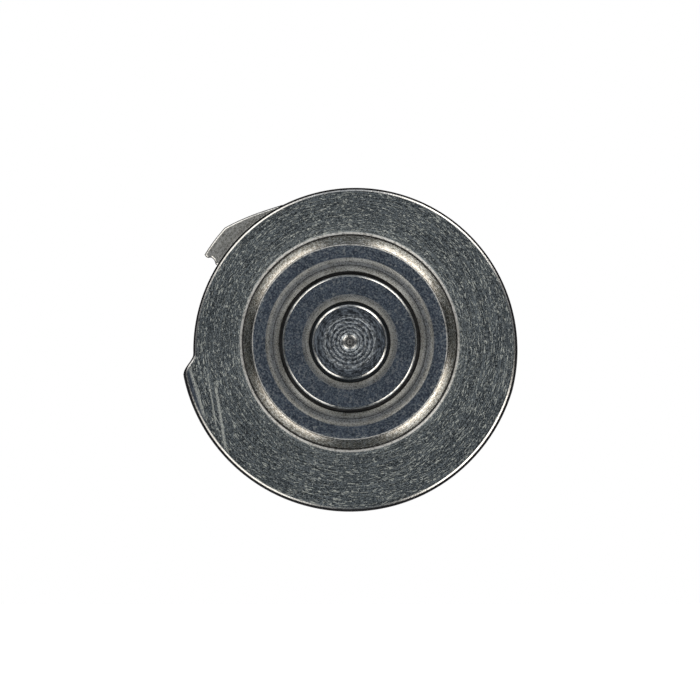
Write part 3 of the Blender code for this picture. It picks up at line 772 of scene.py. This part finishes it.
class HOOK_OT_journal(bpy.types.Operator):
    """Make the end journal and the polished ring round it"""

    bl_idname = "hook.journal"
    bl_label = "Journal and Ring"

    def execute(self, context):
        steps = context.scene.hook_face.steps
        self.make_shaft(steps)
        self.make_bush(steps)
        return {"FINISHED"}

    def make_shaft(self, steps):
        """The journal with its faced end, and its head inside the cup."""
        finishes = ["faced", "cut_edge", "turned", "recess"]
        face, bright, side, dark = range(len(finishes))
        radius, pip, pitch = face_size("journal"), face_size("pip"), face_size("facing")
        top, head = JOURNAL_TOP, -face_size("flange") - AIR
        head_r, head_t, broken = 5.5, 0.7, 0.1
        # The centre pip's hole: painted shade on its floor and in one ring, painted highlights on its slopes
        profile = [
            (dark, 0.0, top - 0.70), (bright, 0.11, top - 0.70), (bright, 0.20, top - 0.62),
            (dark, 0.29, top - 0.57), (bright, 0.40, top - 0.44), (face, 0.70, top - 0.15),
            (face, pip - 0.05, top - 0.03), (face, pip + 0.04, top),
        ]
        first, margin = pip + 0.15, 3.0
        groove = ((0.0, 0.0), (0.07, -0.036), (0.12, -0.030), (0.17, 0.0))
        for i in range(int((margin - first) / pitch)):
            profile += [(face, first + i * pitch + out, top + rise) for out, rise in groove]
        # The journal's chamfer takes a painted highlight
        profile += [
            (face, margin + 0.1, top), (bright, radius - 0.20, top), (bright, radius - 0.06, top - 0.14),
            (side, radius, top - 0.30), (side, radius, top - 0.40), (side, radius, head),
            (side, head_r - broken, head), (side, head_r, head - broken),
            (side, head_r, head - head_t + broken), (side, head_r - broken, head - head_t),
            (side, 0.0, head - head_t),
        ]
        shaft = link("hook_shaft_look", turned("hook_shaft_look", profile, steps, ring=False), finishes)
        settle(shaft, "hook_shaft")

    def make_bush(self, steps):
        """The polished ring round the journal."""
        finishes = ["burnished", "lip", "cut_edge", "turned"]
        flat, lip, edge, side = range(len(finishes))
        inner, outer = face_size("journal") + AIR, BUSH_R - 0.04
        top, foot = BUSH_TOP, BUSH_FOOT
        # The outer chamfer takes a painted highlight
        profile = [
            (lip, inner, top - 0.32), (lip, inner + 0.06, top - 0.22), (lip, inner + 0.40, top - 0.07),
            (lip, inner + 0.50, top - 0.06), (flat, inner + 0.74, top - 0.02), (flat, inner + 0.95, top),
            (edge, outer - 0.20, top), (edge, outer - 0.09, top - 0.11), (side, outer - 0.02, top - 0.30),
            (side, outer, top - 0.45), (side, outer, foot + 0.1), (side, outer - 0.1, foot),
            (side, inner, foot),
        ]
        bush = link("hub_bush_look", turned("hub_bush_look", profile, steps), finishes)
        settle(bush, "hub_bush")


class HOOK_OT_point(bpy.types.Operator):
    """Make the hook point"""

    bl_idname = "hook.point"
    bl_label = "Hook Point"

    def execute(self, context):
        # Radii, then bearings in degrees from the root to the neck under the tip, then heights
        full, inner, outer, swell_from = face_size("rim"), 14.2, 15.0, 15.3
        root, leaves, shoulder, tip, neck = 72.0, 115.0, 137.5, 149.0, 150.0
        low, high, tip_t = -4.1, -1.7, 0.8
        swell, swell_power = 18, 1.35
        rising = []
        for i in range(1, swell):
            part = i / swell
            radius = swell_from + (full - swell_from) * part ** swell_power
            rising.append(polar(radius, leaves + (shoulder - leaves) * part))
        tip_x, tip_y = polar(full, tip)
        hollow = ((0.16, 0.22), (0.34, 0.31), (0.68, 0.27), (0.95, 0.5), (1.06, 0.75), (1.1, 0.95))
        undercut = [(tip_x + right, tip_y - down) for right, down in hollow]
        outline = (arc(outer, root, leaves - 1.0) + rising + arc(full, shoulder, tip, step=1.0) + undercut
                   + arc(inner, neck, root))
        finishes = ["ground", "rim_edge", "rim"]
        _, bright, dark = range(len(finishes))
        # The front steps in twice at its edge: a dark outline of painted shade, then a line of painted
        # highlight
        crown = ((dark, 0.08, 0.15), (bright, 0.10, 0.10))
        piece = link("hook_point_look", plate("hook_point_look", outline, low, high, crown=crown), finishes)
        depth, taper_run = high - low - tip_t, 9.0
        x, y = polar(full - 1.0, tip)
        turn = (Matrix.Translation((x, y, low + depth)) @ Matrix.Rotation(math.radians(tip - 90.0), 4, "Z")
                @ Matrix.Rotation(math.atan2(depth, taper_run), 4, "Y"))
        reach_x, reach_y, deep = 12.0, 4.0, 6.0
        taper = block("taper", (-reach_x, -reach_y, -deep), (reach_x, reach_y, 0.0), turn)
        shaped(piece, "DIFFERENCE", taper)
        settle(piece, "hook_point")
        return {"FINISHED"}


class HOOK_OT_ring(bpy.types.Operator):
    """Make the retaining ring and its screws"""

    bl_idname = "hook.ring"
    bl_label = "Retaining Ring"

    def execute(self, context):
        dressed("retaining_ring", "turned", edge=0.08)
        for number in (1, 2, 3):
            dressed(f"ring_screw_{number}", "screw", edge=0.05)
        return {"FINISHED"}


class HOOK_OT_base(bpy.types.Operator):
    """Make the case base and its stud"""

    bl_idname = "hook.base"
    bl_label = "Case Base"

    def execute(self, context):
        dressed("case_base", "turned", edge=0.032)
        dressed("bobbin_stud", "screw", edge=0.06)
        return {"FINISHED"}


class HOOK_OT_case(bpy.types.Operator):
    """Make the bobbin case with its tube and washer"""

    bl_idname = "hook.case"
    bl_label = "Bobbin Case"

    def execute(self, context):
        dressed("case_shell", "plated", edge=0.10)
        dressed("case_tube", "plated", edge=0.06)
        dressed("anti_spin_washer", "sprung", edge=0.0)
        return {"FINISHED"}


class HOOK_OT_tension(bpy.types.Operator):
    """Make the tension leaf and its screws"""

    bl_idname = "hook.tension"
    bl_label = "Tension Leaf"

    def execute(self, context):
        dressed("tension_spring", "sprung", edge=0.05)
        dressed("tension_screw", "screw", edge=0.05)
        dressed("leaf_fixing_screw", "screw", edge=0.05)
        return {"FINISHED"}


class HOOK_OT_latch(bpy.types.Operator):
    """Make the latch lever, its pin, slide and coil"""

    bl_idname = "hook.latch"
    bl_label = "Latch"

    def execute(self, context):
        dressed("latch_lever", "brushed", edge=0.20)
        dressed("latch_pin", "screw", edge=0.05)
        dressed("latch_slide", "sprung", edge=0.06)
        spring = dressed("latch_spring", "sprung", edge=0.0)
        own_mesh(spring)
        return {"FINISHED"}


class HOOK_OT_bobbin(bpy.types.Operator):
    """Make the bobbin"""

    bl_idname = "hook.bobbin"
    bl_label = "Bobbin"

    def execute(self, context):
        dressed("bobbin_tube", "plated", edge=0.06)
        dressed("bobbin_flange_rear", "plated", edge=0.08)
        dressed("bobbin_flange_front", "plated", edge=0.08)
        return {"FINISHED"}


# How far the lamps lean off the diagonals: all alike, then more on the right, then more at the upper right
# and the lower left
LEAN, LEAN_RIGHT, LEAN_CORNER = 0.07, 0.095, 0.183
# Where the lamps and the top light come in, and the fading inside and outside of the ring
LAMP_FADE, TOP_FADE = (0.24, 0.86), (0.1, 1.0)
RING_INSIDE, RING_OUTSIDE = (0.22, 0.42), (0.50, 0.80)
# How closely the lamps keep to the plane of the flange, and how much stronger they are on the right
LAMP_LEVEL, LAMP_RIGHT = 3.0, 0.35
# How much stronger the top light is above than below
TOP_ABOVE = 0.4


class HOOK_OT_stage(bpy.types.Operator):
    """Make the floor, the studio light and the camera"""

    bl_idname = "hook.stage"
    bl_label = "Stage"

    def execute(self, context):
        stage = context.scene.hook_stage
        context.scene.view_settings.view_transform = "Standard"
        self.make_floor(stage)
        self.make_light(context.scene, stage)
        self.make_camera(context.scene, stage)
        return {"FINISHED"}

    def make_floor(self, stage):
        """A sheet of pale paper that shows only from above, so that the part is also seen from below."""
        half, drop = 600.0, stage.floor_drop / MM
        fibres, shade, roughness, glow = 900.0, 0.98, 0.9, 0.55
        builder = bmesh.new()
        corners = ((-half, half), (half, half), (half, -half), (-half, -half))
        builder.faces.new([builder.verts.new((x, -drop, z)) for x, z in corners])
        builder.transform(TO_ROW)
        mesh = bpy.data.meshes.new("floor")
        builder.to_mesh(mesh)
        builder.free()
        floor = link("floor", mesh)
        paper = bpy.data.materials.new("pale_paper")
        paper.use_nodes = True
        drawing = Drawing(paper.node_tree)
        fibre = drawing.noise(drawing.point(), fibres, detail=3.0)
        sockets = {
            "Base Color": drawing.blend(fibre, opaque(stage.floor, shade), opaque(stage.floor)),
            "Roughness": roughness,
            "Emission Color": opaque(stage.floor),
            "Emission Strength": glow,
        }
        shader = drawing.node("ShaderNodeBsdfPrincipled", None, sockets)
        clear = drawing.node("ShaderNodeBsdfTransparent")
        underside = drawing.node("ShaderNodeNewGeometry", out="Backfacing")
        shader = drawing.node("ShaderNodeMixShader", None, {0: underside, 1: shader, 2: clear})
        drawing.node("ShaderNodeOutputMaterial", None, {"Surface": shader})
        mesh.materials.append(paper)
        floor.visible_glossy = False

    def make_light(self, scene, stage):
        """Four soft lamps near the diagonals round the hook, gloom in front of it and behind it."""
        off_zero = 1e-6
        world = bpy.data.worlds.new("studio")
        scene.world = world
        world.use_nodes = True
        drawing = Drawing(world.node_tree)
        x, y, z = drawing.parts(drawing.node("ShaderNodeTexCoord", out="Generated"))
        across = x * x + z * z + off_zero
        lean = x * LEAN_RIGHT + x * z * LEAN_CORNER + LEAN
        right, up = x + z * lean, z - x * lean
        leaned = right * right + up * up + off_zero
        diagonal = (right * right * up * up * 4.0 / (leaned * leaned)).above(*LAMP_FADE)
        lamps = diagonal * across ** LAMP_LEVEL * (1.0 + x * LAMP_RIGHT) * stage.lamp
        ring = across.above(*RING_INSIDE) * (1.0 - across.above(*RING_OUTSIDE)) * stage.ring
        ahead = y.above(0.0, -1.0)
        behind = y.above(0.0, 1.0) * (1.0 + z)
        above = (z * z).above(*TOP_FADE) * (1.0 + z * TOP_ABOVE)
        studio = drawing.scaled(tuple(stage.lamp_colour), lamps)
        lights = ((stage.front, ahead), (stage.back, behind), (stage.lamp_colour, ring), (stage.top, above))
        for colour, amount in lights:
            studio = drawing.summed(studio, drawing.scaled(tuple(colour), amount))
        studio = drawing.summed(studio, tuple(stage.side))
        seen = drawing.node("ShaderNodeLightPath", out="Is Camera Ray")
        white = (1.0, 1.0, 1.0, 1.0)
        sky = drawing.blend(seen, studio, white)
        shader = drawing.node("ShaderNodeBackground", None, {"Color": sky, "Strength": 1.0})
        drawing.node("ShaderNodeOutputWorld", None, {"Surface": shader})

    def make_camera(self, scene, stage):
        data = bpy.data.cameras.new("camera")
        data.lens = stage.lens
        data.sensor_width = 36.0
        camera = bpy.data.objects.new("camera", data)
        scene.collection.objects.link(camera)
        away = stage.view_width * stage.lens / data.sensor_width
        camera.location = (stage.view_x, -away, stage.view_z)
        camera.rotation_euler = (math.pi / 2, 0.0, 0.0)
        scene.camera = camera


GROUPS = {"hook_face": HookFace, "hook_finish": HookFinish, "hook_stage": HookStage}
MAKERS = (HOOK_OT_body, HOOK_OT_journal, HOOK_OT_point, HOOK_OT_ring, HOOK_OT_base, HOOK_OT_case,
          HOOK_OT_tension, HOOK_OT_latch, HOOK_OT_bobbin, HOOK_OT_stage)


class HOOK_PT_panel(bpy.types.Panel):
    """Sizes, colours and makers of the hook"""

    bl_label = "Rotary Hook"
    bl_idname = "HOOK_PT_panel"
    bl_space_type = "VIEW_3D"
    bl_region_type = "UI"
    bl_category = "Hook"

    def draw(self, context):
        for name, group in GROUPS.items():
            column = self.layout.column()
            for key in group.__annotations__:
                column.prop(getattr(context.scene, name), key)
        for maker in MAKERS:
            self.layout.operator(maker.bl_idname)


def register():
    for name, group in GROUPS.items():
        bpy.utils.register_class(group)
        setattr(bpy.types.Scene, name, PointerProperty(type=group))
    for kind in (*MAKERS, HOOK_PT_panel):
        bpy.utils.register_class(kind)


def unregister():
    for kind in reversed((*MAKERS, HOOK_PT_panel)):
        bpy.utils.unregister_class(kind)
    for name, group in GROUPS.items():
        delattr(bpy.types.Scene, name)
        bpy.utils.unregister_class(group)


def main():
    register()
    for maker in MAKERS:
        family, name = maker.bl_idname.split(".")
        getattr(getattr(bpy.ops, family), name)()


if __name__ == "__main__":
    main()
